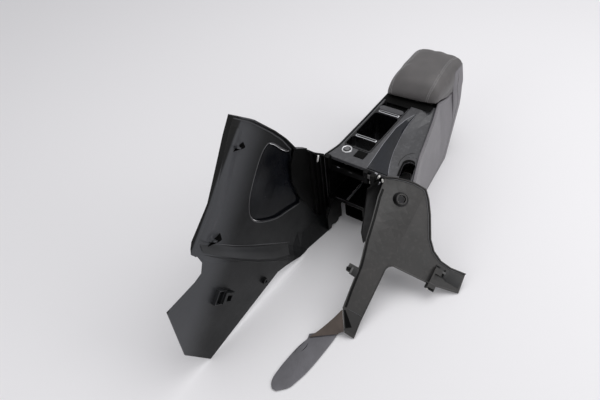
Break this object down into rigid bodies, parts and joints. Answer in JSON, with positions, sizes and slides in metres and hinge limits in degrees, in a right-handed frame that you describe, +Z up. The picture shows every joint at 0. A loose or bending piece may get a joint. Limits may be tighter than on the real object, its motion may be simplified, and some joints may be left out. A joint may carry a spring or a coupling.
{
  "type": "car center console",
  "caption": "Car center console with padded hinged armrest over a storage bin, cup tray, lighter socket, handbrake slot and two splayed open knee panels",
  "frame": {"origin": "middle of the underside of the tunnel foot bracket, on the floor plane, 300 mm behind the front edge of the deck", "axes": "+Z up, +Y towards the rear of the car (armrest end), +X towards the handbrake side"},
  "size_m": [0.4787, 1.1658, 0.5623],
  "materials": {
    "satin_grey_trim": "satin",
    "gloss_black_trim": "gloss",
    "black_structural_plastic": "matte",
    "charcoal_panel_plastic": "satin",
    "warm_grey_panel_plastic": "satin",
    "grey_leatherette": "grained",
    "chrome_plate": "polished",
    "zinc_plated_steel": "zinc plated",
    "black_rubber": "matte",
    "leatherette_flap": "grained face, brown-grey backing"
  },
  "bodies": {
    "console": {"deck_trim": "satin_grey_trim", "tray_adapter": "satin_grey_trim", "cupholder_tray": "gloss_black_trim", "divider_trim": "gloss_black_trim", "switch_blank": "gloss_black_trim", "left_wing_pocket": "gloss_black_trim", "rear_outlet_grille": "gloss_black_trim", "inner_carrier": "black_structural_plastic", "front_bracket": "black_structural_plastic", "storage_bin": "black_structural_plastic", "air_duct": "black_structural_plastic", "left_side_cover": "charcoal_panel_plastic", "left_wing": "charcoal_panel_plastic", "rear_panel": "charcoal_panel_plastic", "right_wing": "warm_grey_panel_plastic", "right_side_cover": "grey_leatherette", "socket_ring": "chrome_plate", "cupholder_bar_front": "chrome_plate", "cupholder_bar_rear": "chrome_plate", "socket_barrel": "zinc_plated_steel", "hinge_bracket": "zinc_plated_steel", "hinge_pin": "zinc_plated_steel", "tunnel_foot": "zinc_plated_steel", "retainer_plate": "zinc_plated_steel", "bin_mat": "black_rubber", "right_wing_flap": "leatherette_flap"},
    "lid": {"lid_cushion": "grey_leatherette", "lid_lower_shell": "black_structural_plastic", "lid_stop_left": "black_rubber", "lid_stop_right": "black_rubber"},
    "lighter": {"lighter_knob": "satin_grey_trim"}
  },
  "joints": [
    {"name": "lid_hinge", "type": "hinge", "parent": "console", "child": "lid", "pos_m": [0, 0.188, 0.252], "axis": [-1, 0, 0], "range_deg": [0, 80]},
    {"name": "lighter_push", "type": "slide", "parent": "console", "child": "lighter", "axis": [0, 0, -1], "range_m": [0, 0.004], "stiffness_N_per_m": 500}
  ]
}
